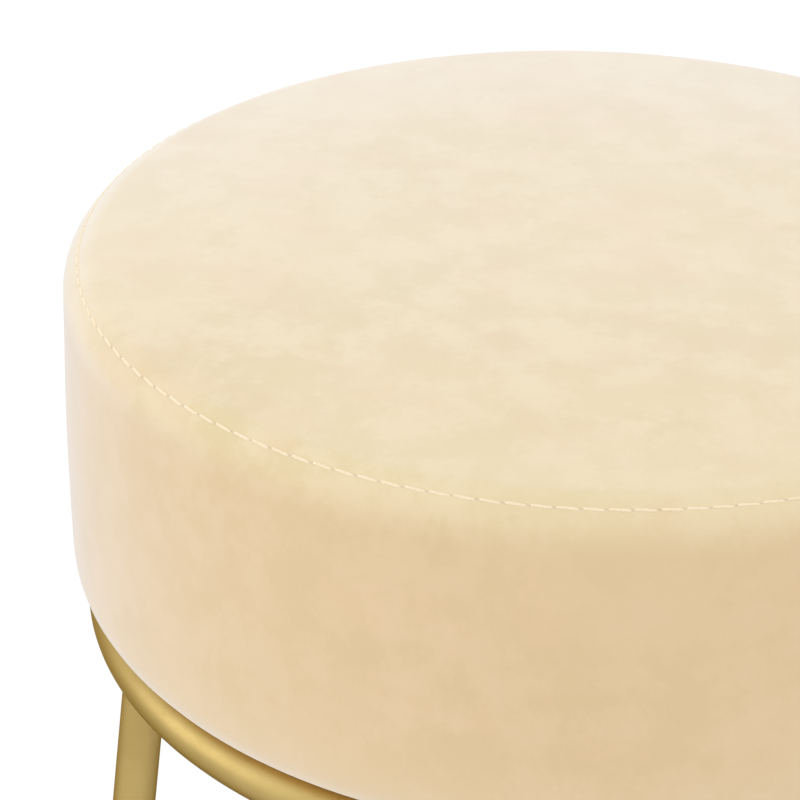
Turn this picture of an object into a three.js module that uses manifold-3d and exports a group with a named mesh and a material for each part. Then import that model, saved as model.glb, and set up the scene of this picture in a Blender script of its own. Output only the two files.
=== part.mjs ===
// A round dressing-table stool: a velvet drum cushion screwed down on a tube ring with four splayed legs.
// Millimetres, +Z up. The origin is on the floor, on the cushion's axis. The legs stand on the diagonals.
import * as THREE from "three";
import { mergeVertices } from "three/addons/utils/BufferGeometryUtils.js";
import Module from "manifold-3d";

const wasm = await Module();
wasm.setup();

// Overall sizes
const SEAT_HEIGHT = 450; // floor to the middle of the crowned seat
const SEAT_RADIUS = 195; // cushion at the top of its side band
const CUSHION_DEPTH = 135.3; // top edge of the cushion to its underside

// Cushion shape
const CROWN_RISE = 5; // how far the seat's middle stands above its edge
const TOP_EDGE_RADIUS = 14.8;
const BOTTOM_EDGE_RADIUS = 17.2;
const BAND_FLARE = 0.6; // how much wider the band is at its foot
const BAND_BULGE = 0.8; // how far the band swells between its edges
const SEAM_ANGLE = THREE.MathUtils.degToRad(50); // where the panels meet, up round the top edge
const SEAM_DRAW = 0.6; // how deep the stitching pulls the seam in
const SEAM_DRAW_REACH = 4; // how far from the seam that pull fades
const THREAD_RADIUS = 0.5;

// Cushion make-up
const VELVET = 1.6; // velvet with its backing
const SEAM_ALLOWANCE = 6; // turned-in edge of each panel at the seam
const FOLD_PAST_SCREWS = 15; // velvet turned in under the board, past the screws
const WADDING = 8;
const BOARD_THICKNESS = 12;
const DUST_CLOTH = 0.6;
const DUST_CLOTH_MARGIN = 6; // between the ring's inside and the dust cloth's edge

// Frame
const RING_INSET = 14.4; // from the cushion's widest part in to the middle of the tube
const RING_TUBE_RADIUS = 9.5;
const RING_WALL = 1.5;
const LEG_RADIUS = 8;
const LEG_WALL = 1.2;
const LEG_SPLAY = THREE.MathUtils.degToRad(6.7);
const LEG_COUNT = 4;
const VENT_RADIUS = 3; // hole in the ring behind each leg, which lets welding gas out

// Seat fixings
const FIXING_COUNT = 4;
const FIXING_INSET = 24; // from the ring's inside in to the screws
const TAB_THICKNESS = 3;
const TAB_WIDTH = 24;
const SCREW_RADIUS = 3;
const SCREW_LENGTH = 16;
const SCREW_HEAD_RADIUS = 5.25;
const SCREW_HEAD_HEIGHT = 3.3;
const SOCKET_RADIUS = 2.3; // to the corners of the hexagon
const SOCKET_DEPTH = 2;
const WASHER_RADIUS = 7.5;
const WASHER_THICKNESS = 1.4;
const NUT_FLANGE_RADIUS = 9.5;
const NUT_FLANGE_THICKNESS = 1.5;
const NUT_BARREL_RADIUS = 4.3;
const NUT_BARREL_LENGTH = 9;
const NUT_PRONG_CIRCLE_RADIUS = 7.6;
const NUT_PRONG_LENGTH = 6;
const NUT_PRONG_WIDTH = 3;
const NUT_PRONG_THICKNESS = 1.3;
const NUT_PRONG_COUNT = 4;
const STAPLE_COUNT = 12;
const STAPLE_MARGIN = 8; // between the dust cloth's edge and the staples
const STAPLE_WIDTH = 11;
const STAPLE_LENGTH = 8;
const STAPLE_WIRE_WIDTH = 1.2;
const STAPLE_WIRE_THICKNESS = 0.7;

// Feet
const GLIDE_THICKNESS = 4; // plastic under the tube's end, on the leg's axis
const GLIDE_PLUG_LENGTH = 16;
const GLIDE_RIB_HEIGHT = 0.5;
const GLIDE_RIB_PITCH = 4;
const GLIDE_RIB_COUNT = 2;
const GLIDE_BEVEL = 0.8;

// Clearances
const SOFT_GAP = 0.3; // between layers of the cushion, and from it to the frame
const WELD_GAP = 0.3; // between a tube and what is coped and welded to it
const STACK_GAP = 0.1; // between faces that a screw pulls together
const FIT_GAP = 0.3; // round what sits in a hole
const OVERRUN = 2; // how far a cutting tool reaches past what it cuts

// Facets
const CUSHION_SIDES = 48;
const RING_SIDES = 48;
const RING_TUBE_SIDES = 12;
const RING_BORE_SIDES = 8;
const LEG_SIDES = 16;
const SMALL_SIDES = 12;
const THREAD_SIDES = 6;
const CROWN_STEPS = 3;
const TOP_EDGE_STEPS = 4; // from the crown to the seam
const SEAM_EDGE_STEPS = 3; // from the seam to the side
const SIDE_STEPS = 3;
const BOTTOM_EDGE_STEPS = 3;

// Radii and heights that follow from the sizes above
const RING_RADIUS = SEAT_RADIUS + BAND_FLARE - RING_INSET;
const RING_INSIDE_RADIUS = RING_RADIUS - RING_TUBE_RADIUS;
const FIXING_CIRCLE_RADIUS = RING_INSIDE_RADIUS - FIXING_INSET;
const FOLD_EDGE_RADIUS = FIXING_CIRCLE_RADIUS - FOLD_PAST_SCREWS;
const DUST_CLOTH_RADIUS = RING_INSIDE_RADIUS - DUST_CLOTH_MARGIN;
const STAPLE_CIRCLE_RADIUS = DUST_CLOTH_RADIUS - STAPLE_MARGIN;
const TOP_EDGE_Z = SEAT_HEIGHT - CROWN_RISE;
const UNDERSIDE_Z = TOP_EDGE_Z - CUSHION_DEPTH;
const BOARD_Z = UNDERSIDE_Z + VELVET + SOFT_GAP;
const BOARD_TOP_Z = BOARD_Z + BOARD_THICKNESS;
const RING_Z = UNDERSIDE_Z - SOFT_GAP - RING_TUBE_RADIUS;
const DUST_CLOTH_Z = UNDERSIDE_Z - SOFT_GAP - DUST_CLOTH;
const TAB_Z = DUST_CLOTH_Z - SOFT_GAP - TAB_THICKNESS;
const WASHER_Z = TAB_Z - STACK_GAP - WASHER_THICKNESS;
const SCREW_HEAD_TOP_Z = WASHER_Z - STACK_GAP;
const STAPLE_Z = DUST_CLOTH_Z - STACK_GAP - STAPLE_WIRE_THICKNESS;
const STAPLE_TIP_Z = STAPLE_Z + STAPLE_LENGTH;

// Centres of the two rounded edges of the cushion's outline
const TOP_ARC_R = SEAT_RADIUS - TOP_EDGE_RADIUS;
const TOP_ARC_Z = TOP_EDGE_Z - TOP_EDGE_RADIUS;
const BOTTOM_ARC_R = SEAT_RADIUS + BAND_FLARE - BOTTOM_EDGE_RADIUS;
const BOTTOM_ARC_Z = UNDERSIDE_Z + BOTTOM_EDGE_RADIUS;
const BOARD_RADIUS = BOTTOM_ARC_R - SOFT_GAP;

// Colours and finishes
const VELVET_FINISH = { color: 0xe6d2aa, roughness: 0.9, metalness: 0 };
const THREAD_FINISH = { color: 0xf8ecd2, roughness: 0.7, metalness: 0 };
const WADDING_FINISH = { color: 0xf2f0ea, roughness: 1, metalness: 0 };
const FOAM_FINISH = { color: 0xe9dfae, roughness: 1, metalness: 0 };
const PLYWOOD_FINISH = { color: 0xc9a46c, roughness: 0.8, metalness: 0 };
const DUST_CLOTH_FINISH = { color: 0x1c1c1d, roughness: 0.95, metalness: 0 };
const GOLD_FINISH = { color: 0xc9a95c, roughness: 0.35, metalness: 1 };
const ZINC_FINISH = { color: 0xb9bcc0, roughness: 0.4, metalness: 1 };
const GLIDE_FINISH = { color: 0x191919, roughness: 0.6, metalness: 0 };

// Solids and meshes

/** The solid that a closed geometry bounds. */
function solidOf(geometry) {
  const bare = geometry.clone();
  bare.deleteAttribute("normal");
  bare.deleteAttribute("uv");
  const merged = mergeVertices(bare);
  return new wasm.Manifold(
    new wasm.Mesh({
      numProp: 3,
      vertProperties: merged.attributes.position.array,
      triVerts: new Uint32Array(merged.index.array),
    }),
  );
}

/** The geometry of a solid's surface. */
function geometryOf(solid) {
  const mesh = solid.getMesh();
  const geometry = new THREE.BufferGeometry();
  geometry.setAttribute("position", new THREE.BufferAttribute(mesh.vertProperties, mesh.numProp));
  geometry.setIndex(new THREE.BufferAttribute(mesh.triVerts, 1));
  geometry.computeVertexNormals();
  return geometry;
}

/** A [radius, height] profile turned about the Z axis. The profile closes on itself or on the axis. */
function turned(profile, sides) {
  const points = profile.map(([r, z]) => new THREE.Vector2(r, z));
  if (THREE.ShapeUtils.area(points) < 0) points.reverse();
  const onAxis = points.filter((p) => p.x === 0).length > 0;
  if (!onAxis) points.push(points[0].clone());
  while (onAxis && !(points[0].x === 0 && points.at(-1).x === 0)) points.push(points.shift());
  return new THREE.LatheGeometry(points, sides).rotateX(Math.PI / 2);
}

/** A tube or a washer, standing on z. */
function pipe(outer, inner, z, length, sides) {
  return turned([[inner, z], [outer, z], [outer, z + length], [inner, z + length]], sides);
}

/** A round bar, standing on z. */
function bar(radius, z, length, sides) {
  return turned([[0, z], [radius, z], [radius, z + length], [0, z + length]], sides);
}

/** An outline stood upright across the X axis, with its first direction along Y. */
function upright(outline, thickness) {
  const slab = new THREE.ExtrudeGeometry(outline, { depth: thickness, bevelEnabled: false });
  return slab.translate(0, 0, -thickness / 2).rotateX(Math.PI / 2).rotateZ(Math.PI / 2);
}

/** A solid less some cutting shapes, which are made in the +X direction and set round the Z axis. */
function cutRound(solid, count, azimuthOf, tools) {
  let left = solid;
  for (let i = 0; i < count; i++) {
    for (const tool of tools) {
      left = left.subtract(solidOf(tool.clone().rotateZ(azimuthOf(i))));
    }
  }
  return left;
}

/** The direction of a leg round the Z axis. */
function legAzimuth(index) {
  return (2 * Math.PI * (index + 1 / 2)) / LEG_COUNT;
}

/** The direction of a seat fixing, midway between two legs. */
function fixingAzimuth(index) {
  return (2 * Math.PI * index) / FIXING_COUNT;
}

/** The direction of a staple, clear of the seat fixings. */
function stapleAzimuth(index) {
  return (2 * Math.PI * (index + 1 / 2)) / STAPLE_COUNT;
}

/** A named mesh with a material of its own. */
function piece(name, geometry, finish) {
  const mesh = new THREE.Mesh(geometry, new THREE.MeshStandardMaterial(finish));
  mesh.name = name;
  return mesh;
}

// Cushion outline

/** How far the stitching draws the outline in, at a distance from the seam along it. */
function seamDraw(distance) {
  return SEAM_DRAW * Math.exp(-((distance / SEAM_DRAW_REACH) ** 2));
}

/** A point of the top edge at an angle up from level, so far inside the outline. */
function topEdgePoint(angle, inset, drawn) {
  const draw = drawn ? seamDraw(TOP_EDGE_RADIUS * (angle - SEAM_ANGLE)) : 0;
  const radius = TOP_EDGE_RADIUS - inset - draw;
  return [TOP_ARC_R + radius * Math.cos(angle), TOP_ARC_Z + radius * Math.sin(angle)];
}

/** The crown and the top edge, from the axis towards the seam. The angle is where the list ends. */
function topOutline(inset, endAngle, drawn) {
  const points = [];
  for (let i = 0; i < CROWN_STEPS; i++) {
    const share = i / CROWN_STEPS;
    const rise = (CROWN_RISE * (1 + Math.cos(Math.PI * share))) / 2;
    points.push([TOP_ARC_R * share, TOP_EDGE_Z + rise - inset]);
  }
  for (let i = 0; i <= TOP_EDGE_STEPS; i++) {
    const angle = Math.PI / 2 + ((endAngle - Math.PI / 2) * i) / TOP_EDGE_STEPS;
    points.push(topEdgePoint(angle, inset, drawn));
  }
  return points;
}

/** The side's radius at a share of the way down it. */
function sideRadius(share) {
  return SEAT_RADIUS + BAND_FLARE * share + BAND_BULGE * 4 * share * (1 - share);
}

/** The side, from below the seam to the bottom edge. */
function sideOutline(inset, startAngle, drawn) {
  const points = [];
  for (let i = 0; i < SEAM_EDGE_STEPS; i++) {
    points.push(topEdgePoint(startAngle * (1 - i / SEAM_EDGE_STEPS), inset, drawn));
  }
  for (let i = 0; i < SIDE_STEPS; i++) {
    const share = i / SIDE_STEPS;
    const z = TOP_ARC_Z + (BOTTOM_ARC_Z - TOP_ARC_Z) * share;
    const draw = drawn ? seamDraw(TOP_EDGE_RADIUS * SEAM_ANGLE + TOP_ARC_Z - z) : 0;
    points.push([sideRadius(share) - inset - draw, z]);
  }
  return points;
}

/** The bottom edge, from the side to the underside. */
function bottomOutline(inset) {
  const radius = BOTTOM_EDGE_RADIUS - inset;
  const points = [];
  for (let i = 0; i <= BOTTOM_EDGE_STEPS; i++) {
    const angle = ((-Math.PI / 2) * i) / BOTTOM_EDGE_STEPS;
    points.push([BOTTOM_ARC_R + radius * Math.cos(angle), BOTTOM_ARC_Z + radius * Math.sin(angle)]);
  }
  return points;
}

/** The angle that a length of the top edge spans. */
function edgeAngle(length) {
  return length / TOP_EDGE_RADIUS;
}

/** The two corners of a turned-in seam edge. Side is +1 above the seam and -1 below it. */
function seamTurnIn(side) {
  const outer = topEdgePoint(SEAM_ANGLE + side * edgeAngle(SOFT_GAP / 2), 0, true);
  const step = VELVET;
  const inward = [-Math.cos(SEAM_ANGLE), -Math.sin(SEAM_ANGLE)];
  const along = [-side * Math.sin(SEAM_ANGLE), side * Math.cos(SEAM_ANGLE)];
  const at = (depth, width) => [
    outer[0] + inward[0] * depth + along[0] * width,
    outer[1] + inward[1] * depth + along[1] * width,
  ];
  return [outer, at(SEAM_ALLOWANCE, 0), at(SEAM_ALLOWANCE, step), at(VELVET, step)];
}

// Cushion pieces

/** The round velvet panel that is sat on, with its edge turned in at the seam. */
function coverTopPanel() {
  const clearOfTurnIn = SEAM_ANGLE + edgeAngle(2 * VELVET);
  const outer = topOutline(0, SEAM_ANGLE + edgeAngle(VELVET), true);
  const inner = topOutline(VELVET, clearOfTurnIn, true);
  return turned([...outer, ...seamTurnIn(1), ...inner.reverse()], CUSHION_SIDES);
}

/** The velvet strip round the side, folded in under the board and pierced for the screws. */
function coverSideBand() {
  const outer = [
    ...sideOutline(0, SEAM_ANGLE - edgeAngle(VELVET), true),
    ...bottomOutline(0),
    [FOLD_EDGE_RADIUS, UNDERSIDE_Z],
  ];
  const inner = [
    ...sideOutline(VELVET, SEAM_ANGLE - edgeAngle(2 * VELVET), true),
    ...bottomOutline(VELVET),
    [FOLD_EDGE_RADIUS, UNDERSIDE_Z + VELVET],
  ];
  const turnIn = seamTurnIn(-1);
  const band = turned([...turnIn.reverse(), ...outer, ...inner.reverse()], CUSHION_SIDES);
  return geometryOf(pierced(solidOf(band)));
}

/** The sewing thread that lies in the valley of the seam. */
function seamThread() {
  const reach = TOP_EDGE_RADIUS - SEAM_DRAW + SOFT_GAP + THREAD_RADIUS;
  const radius = TOP_ARC_R + reach * Math.cos(SEAM_ANGLE);
  const z = TOP_ARC_Z + reach * Math.sin(SEAM_ANGLE);
  const thread = new THREE.TorusGeometry(radius, THREAD_RADIUS, THREAD_SIDES, CUSHION_SIDES);
  return thread.translate(0, 0, z);
}

/** The two slots that a staple's legs pass through. */
function stapleSlots() {
  const bottom = STAPLE_Z - OVERRUN;
  const height = STAPLE_TIP_Z + FIT_GAP - bottom;
  const width = STAPLE_WIRE_WIDTH + 2 * FIT_GAP;
  const slot = new THREE.BoxGeometry(width, STAPLE_WIRE_THICKNESS + 2 * FIT_GAP, height);
  slot.translate(STAPLE_CIRCLE_RADIUS, 0, bottom + height / 2);
  const offset = (STAPLE_WIDTH - STAPLE_WIRE_THICKNESS) / 2;
  return [slot.clone().translate(0, offset, 0), slot.clone().translate(0, -offset, 0)];
}

/** A cloth layer under the board, with its holes for the seat screws and the staples. */
function pierced(layer) {
  const hole = bar(SCREW_RADIUS + FIT_GAP, STAPLE_Z, BOARD_TOP_Z - STAPLE_Z, SMALL_SIDES);
  hole.translate(FIXING_CIRCLE_RADIUS, 0, 0);
  const forScrews = cutRound(layer, FIXING_COUNT, fixingAzimuth, [hole]);
  return cutRound(forScrews, STAPLE_COUNT, stapleAzimuth, stapleSlots());
}

/** Fibre wadding over the foam and round the board's edge, notched for the seam's turned-in edges. */
function waddingWrap() {
  const outside = VELVET + SOFT_GAP;
  const inside = outside + WADDING;
  const notchDepth = SEAM_ALLOWANCE + SEAM_DRAW + SOFT_GAP;
  const notchAngle = edgeAngle(VELVET + SOFT_GAP) * (TOP_EDGE_RADIUS / (TOP_EDGE_RADIUS - notchDepth));
  const above = SEAM_ANGLE + notchAngle;
  const below = SEAM_ANGLE - notchAngle;
  const profile = [
    ...topOutline(outside, above, true),
    topEdgePoint(above, notchDepth, false),
    topEdgePoint(below, notchDepth, false),
    ...sideOutline(outside, below, true),
    ...bottomOutline(outside),
    ...bottomOutline(inside).reverse(),
    ...sideOutline(inside, SEAM_ANGLE, false).reverse(),
    ...topOutline(inside, SEAM_ANGLE, false).slice(0, -1).reverse(),
  ];
  return turned(profile, CUSHION_SIDES);
}

/** The foam block on the board, shaped to the wadding's inside. */
function foamPad() {
  const inset = VELVET + SOFT_GAP + WADDING + SOFT_GAP;
  const floorZ = BOARD_TOP_Z + SOFT_GAP;
  const drop = Math.max(BOTTOM_ARC_Z - floorZ, 0);
  const cornerRadius = BOTTOM_EDGE_RADIUS - inset;
  const footRadius = BOTTOM_ARC_R + Math.sqrt(Math.max(cornerRadius ** 2 - drop ** 2, 0));
  const profile = [
    ...topOutline(inset, SEAM_ANGLE, false).slice(0, -1),
    ...sideOutline(inset, SEAM_ANGLE, false).filter(([, z]) => z > floorZ),
    [footRadius, floorZ],
    [0, floorZ],
  ];
  return turned(profile, CUSHION_SIDES);
}

/** The spikes of a tee nut, each a wedge that points down from the flange. */
function nutProngs(gap) {
  const half = NUT_PRONG_WIDTH / 2 + gap;
  const outline = new THREE.Shape();
  outline.moveTo(-half, gap);
  outline.lineTo(half, gap);
  outline.lineTo(0, -NUT_PRONG_LENGTH - 2 * gap);
  const wedge = upright(outline, NUT_PRONG_THICKNESS + 2 * gap).translate(NUT_PRONG_CIRCLE_RADIUS, 0, 0);
  const prongs = [];
  for (let i = 0; i < NUT_PRONG_COUNT; i++) {
    prongs.push(wedge.clone().rotateZ((2 * Math.PI * (i + 1 / 2)) / NUT_PRONG_COUNT));
  }
  return prongs;
}

/** The plywood seat board, with a stepped hole and spike slots for each tee nut. */
function seatBoard() {
  const blank = solidOf(bar(BOARD_RADIUS, BOARD_Z, BOARD_THICKNESS, CUSHION_SIDES));
  const holeRadius = NUT_BARREL_RADIUS + FIT_GAP;
  const seatDepth = NUT_FLANGE_THICKNESS + STACK_GAP;
  const cuts = [
    bar(holeRadius, BOARD_Z - OVERRUN, BOARD_THICKNESS + 2 * OVERRUN, SMALL_SIDES),
    bar(NUT_FLANGE_RADIUS + FIT_GAP, BOARD_TOP_Z - seatDepth, seatDepth + OVERRUN, SMALL_SIDES),
    ...nutProngs(FIT_GAP).map((prong) => prong.translate(0, 0, BOARD_TOP_Z - seatDepth)),
  ];
  const placed = cuts.map((cut) => cut.translate(FIXING_CIRCLE_RADIUS, 0, 0));
  const board = cutRound(blank, FIXING_COUNT, fixingAzimuth, placed);
  return geometryOf(cutRound(board, STAPLE_COUNT, stapleAzimuth, stapleSlots()));
}

/** The black cloth under the seat, which hides the folded velvet. */
function dustCloth() {
  const disc = solidOf(bar(DUST_CLOTH_RADIUS, DUST_CLOTH_Z, DUST_CLOTH, CUSHION_SIDES));
  return geometryOf(pierced(disc));
}

/** One of the staples that hold the dust cloth and the folded velvet to the board. */
function clothStaple() {
  const half = STAPLE_WIDTH / 2;
  const inner = half - STAPLE_WIRE_THICKNESS;
  const outline = new THREE.Shape();
  outline.moveTo(-half, STAPLE_Z);
  outline.lineTo(half, STAPLE_Z);
  outline.lineTo(half, STAPLE_TIP_Z);
  outline.lineTo(inner, STAPLE_TIP_Z);
  outline.lineTo(inner, STAPLE_Z + STAPLE_WIRE_THICKNESS);
  outline.lineTo(-inner, STAPLE_Z + STAPLE_WIRE_THICKNESS);
  outline.lineTo(-inner, STAPLE_TIP_Z);
  outline.lineTo(-half, STAPLE_TIP_Z);
  return upright(outline, STAPLE_WIRE_WIDTH).translate(STAPLE_CIRCLE_RADIUS, 0, 0);
}

// Frame pieces

/** The ring tube's outside, grown by a gap. It serves to cope what is welded to the ring. */
function ringEnvelope(gap) {
  const torus = new THREE.TorusGeometry(RING_RADIUS, RING_TUBE_RADIUS + gap, RING_TUBE_SIDES, RING_SIDES);
  return solidOf(torus.translate(0, 0, RING_Z));
}

/** Moves a shape from the leg's own axis to its place on the ring, in the +X direction. */
function toLegAxis(geometry) {
  return geometry.clone().rotateY(-LEG_SPLAY).translate(RING_RADIUS, 0, RING_Z);
}

/** The rolled tube ring under the cushion, hollow, with a vent hole behind each leg. */
function frameRing() {
  const boreRadius = RING_TUBE_RADIUS - RING_WALL;
  const bore = new THREE.TorusGeometry(RING_RADIUS, boreRadius, RING_BORE_SIDES, RING_SIDES);
  const tube = ringEnvelope(0).subtract(solidOf(bore.translate(0, 0, RING_Z)));
  const ventLength = RING_TUBE_RADIUS + OVERRUN;
  const vent = toLegAxis(bar(VENT_RADIUS, -ventLength, ventLength, SMALL_SIDES));
  return geometryOf(cutRound(tube, LEG_COUNT, legAzimuth, [vent]));
}

/** The distance along a leg's axis from the ring's centre line to the floor. */
const LEG_REACH = RING_Z / Math.cos(LEG_SPLAY);
const TUBE_END = GLIDE_THICKNESS - LEG_REACH;

/** One leg tube, coped to the ring at its top and cut square at its foot. */
function legTube() {
  const tube = toLegAxis(pipe(LEG_RADIUS, LEG_RADIUS - LEG_WALL, TUBE_END, -TUBE_END, LEG_SIDES));
  return geometryOf(solidOf(tube).subtract(ringEnvelope(WELD_GAP)));
}

/** The plastic glide in a leg's foot: a ribbed plug, and a pad cut level with the floor. */
function footGlide() {
  const boreRadius = LEG_RADIUS - LEG_WALL;
  const ribRadius = boreRadius - STACK_GAP;
  const plugRadius = ribRadius - GLIDE_RIB_HEIGHT;
  const padTop = TUBE_END - STACK_GAP;
  const plugTop = padTop + GLIDE_PLUG_LENGTH;
  const profile = [[0, plugTop], [plugRadius - GLIDE_BEVEL, plugTop], [plugRadius, plugTop - GLIDE_BEVEL]];
  for (let i = 0; i < GLIDE_RIB_COUNT; i++) {
    const ribTop = plugTop - GLIDE_BEVEL - GLIDE_RIB_PITCH * i;
    profile.push(
      [plugRadius, ribTop - GLIDE_RIB_PITCH / 4],
      [ribRadius, ribTop - GLIDE_RIB_PITCH / 2],
      [plugRadius, ribTop - (GLIDE_RIB_PITCH * 3) / 4],
    );
  }
  const belowFloor = -LEG_REACH - LEG_RADIUS;
  profile.push([plugRadius, padTop], [LEG_RADIUS, padTop], [LEG_RADIUS, belowFloor], [0, belowFloor]);
  const glide = solidOf(toLegAxis(turned(profile, LEG_SIDES)));
  const underFloor = new THREE.BoxGeometry(4 * LEG_RADIUS, 4 * LEG_RADIUS, 4 * LEG_RADIUS);
  const footRadius = RING_RADIUS + LEG_REACH * Math.sin(LEG_SPLAY);
  return geometryOf(glide.subtract(solidOf(underFloor.translate(footRadius, 0, -2 * LEG_RADIUS))));
}

// Seat fixings, each made in the +X direction

/** The steel ear welded inside the ring, round at its free end, with a screw hole. */
function seatTab() {
  const half = TAB_WIDTH / 2;
  const outline = new THREE.Shape();
  outline.moveTo(RING_RADIUS, -half);
  outline.lineTo(RING_RADIUS, half);
  outline.lineTo(FIXING_CIRCLE_RADIUS, half);
  outline.absarc(FIXING_CIRCLE_RADIUS, 0, half, Math.PI / 2, (3 * Math.PI) / 2, false);
  const hole = new THREE.Path();
  hole.absarc(FIXING_CIRCLE_RADIUS, 0, SCREW_RADIUS + FIT_GAP, 0, 2 * Math.PI, true);
  outline.holes.push(hole);
  const options = { depth: TAB_THICKNESS, bevelEnabled: false, curveSegments: SMALL_SIDES };
  const ear = new THREE.ExtrudeGeometry(outline, options).translate(0, 0, TAB_Z);
  return geometryOf(solidOf(ear).subtract(ringEnvelope(WELD_GAP)));
}

/** The button-head screw, driven up from below, with a hexagon socket. */
function seatScrew() {
  const headFoot = SCREW_HEAD_TOP_Z - SCREW_HEAD_HEIGHT;
  const rimHeight = SCREW_HEAD_HEIGHT / 4;
  const profile = [
    [0, SCREW_HEAD_TOP_Z + SCREW_LENGTH],
    [SCREW_RADIUS, SCREW_HEAD_TOP_Z + SCREW_LENGTH],
    [SCREW_RADIUS, SCREW_HEAD_TOP_Z],
    [SCREW_HEAD_RADIUS, SCREW_HEAD_TOP_Z],
    [SCREW_HEAD_RADIUS, SCREW_HEAD_TOP_Z - rimHeight],
    [(SCREW_HEAD_RADIUS + SOCKET_RADIUS) / 2, headFoot + rimHeight / 2],
    [SOCKET_RADIUS, headFoot],
    [0, headFoot],
  ];
  const screw = solidOf(turned(profile, SMALL_SIDES));
  const socket = solidOf(bar(SOCKET_RADIUS, headFoot - OVERRUN, SOCKET_DEPTH + OVERRUN, 6));
  return geometryOf(screw.subtract(socket)).translate(FIXING_CIRCLE_RADIUS, 0, 0);
}

/** The plain washer between a screw's head and its tab. */
function screwWasher() {
  const washer = pipe(WASHER_RADIUS, SCREW_RADIUS + FIT_GAP, WASHER_Z, WASHER_THICKNESS, SMALL_SIDES);
  return washer.translate(FIXING_CIRCLE_RADIUS, 0, 0);
}

/** The tee nut that a seat screw turns into, let into the top of the board. */
function teeNut() {
  const flangeZ = BOARD_TOP_Z - NUT_FLANGE_THICKNESS;
  const bore = SCREW_RADIUS + FIT_GAP;
  const body = turned(
    [
      [bore, BOARD_TOP_Z],
      [NUT_FLANGE_RADIUS, BOARD_TOP_Z],
      [NUT_FLANGE_RADIUS, flangeZ],
      [NUT_BARREL_RADIUS, flangeZ],
      [NUT_BARREL_RADIUS, flangeZ - NUT_BARREL_LENGTH],
      [bore, flangeZ - NUT_BARREL_LENGTH],
    ],
    SMALL_SIDES,
  );
  let nut = solidOf(body);
  for (const prong of nutProngs(0)) {
    nut = nut.add(solidOf(prong.translate(0, 0, flangeZ + NUT_FLANGE_THICKNESS / 4)));
  }
  return geometryOf(nut).translate(FIXING_CIRCLE_RADIUS, 0, 0);
}

// The stool

/** Copies of some shapes, set round the Z axis. Their names end in 1, 2, 3 and so on. */
function setRound(count, azimuthOf, shapes) {
  const stations = new THREE.Group();
  for (let i = 0; i < count; i++) {
    const station = new THREE.Group();
    station.rotation.z = azimuthOf(i);
    for (const [name, geometry, finish] of shapes) {
      station.add(piece(`${name}_${i + 1}`, geometry, finish));
    }
    stations.add(station);
  }
  return stations;
}

const cushion = new THREE.Group();
cushion.add(
  piece("cover_top_panel", coverTopPanel(), VELVET_FINISH),
  piece("cover_side_band", coverSideBand(), VELVET_FINISH),
  piece("seam_thread", seamThread(), THREAD_FINISH),
  piece("wadding_wrap", waddingWrap(), WADDING_FINISH),
  piece("foam_pad", foamPad(), FOAM_FINISH),
  piece("seat_board", seatBoard(), PLYWOOD_FINISH),
  piece("dust_cloth", dustCloth(), DUST_CLOTH_FINISH),
);

const frame = new THREE.Group();
frame.add(
  piece("frame_ring", frameRing(), GOLD_FINISH),
  setRound(LEG_COUNT, legAzimuth, [
    ["leg", legTube(), GOLD_FINISH],
    ["foot_glide", footGlide(), GLIDE_FINISH],
  ]),
);

const fixings = new THREE.Group();
fixings.add(
  setRound(FIXING_COUNT, fixingAzimuth, [
    ["seat_tab", seatTab(), GOLD_FINISH],
    ["seat_screw", seatScrew(), ZINC_FINISH],
    ["screw_washer", screwWasher(), ZINC_FINISH],
    ["tee_nut", teeNut(), ZINC_FINISH],
  ]),
  setRound(STAPLE_COUNT, stapleAzimuth, [["cloth_staple", clothStaple(), ZINC_FINISH]]),
);

const stool = new THREE.Group();
stool.add(cushion, frame, fixings);

export default stool;
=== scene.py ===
"""A round dressing-table stool: a velvet drum cushion on a gold tube ring with four splayed legs."""

import math

import bpy
from mathutils import Matrix, Vector, noise


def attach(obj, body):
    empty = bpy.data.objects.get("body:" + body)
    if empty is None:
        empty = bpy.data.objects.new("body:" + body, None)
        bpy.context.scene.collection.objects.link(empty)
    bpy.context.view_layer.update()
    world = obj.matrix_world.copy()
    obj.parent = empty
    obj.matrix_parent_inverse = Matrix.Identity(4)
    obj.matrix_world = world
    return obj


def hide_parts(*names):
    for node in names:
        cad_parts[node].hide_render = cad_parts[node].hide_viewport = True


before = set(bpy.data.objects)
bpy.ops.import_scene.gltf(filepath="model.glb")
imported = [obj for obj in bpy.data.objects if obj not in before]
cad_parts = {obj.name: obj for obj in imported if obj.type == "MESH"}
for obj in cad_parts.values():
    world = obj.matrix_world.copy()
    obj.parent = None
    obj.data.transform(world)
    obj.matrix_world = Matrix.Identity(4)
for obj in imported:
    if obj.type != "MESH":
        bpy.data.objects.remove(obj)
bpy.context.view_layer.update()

bpy.context.scene.view_settings.view_transform = "Standard"

MM = 0.001

# Cushion, in metres
SEAT_HEIGHT = 0.45  # floor to the middle of the crowned seat
CROWN_RISE = 5 * MM
SEAT_RADIUS = 0.195
CUSHION_DEPTH = 135.3 * MM
TOP_EDGE_RADIUS = 14.8 * MM
BOTTOM_EDGE_RADIUS = 17.2 * MM
BAND_FLARE = 0.6 * MM
BAND_BULGE = 0.8 * MM
SEAM_ANGLE = math.radians(50)  # where the panels meet, up round the top edge
SEAM_DRAW = 0.6 * MM  # how deep the stitching pulls both panels in
SEAM_DRAW_REACH = 4.5 * MM
VELVET_THICKNESS = 1.6 * MM
LIP_DEPTH = 5 * MM
SOFT_GAP = 0.3 * MM  # between the cushion's layers, and from it to the frame
SEAM_GAP = 0.012 * MM  # between each panel and the seam's middle

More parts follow.
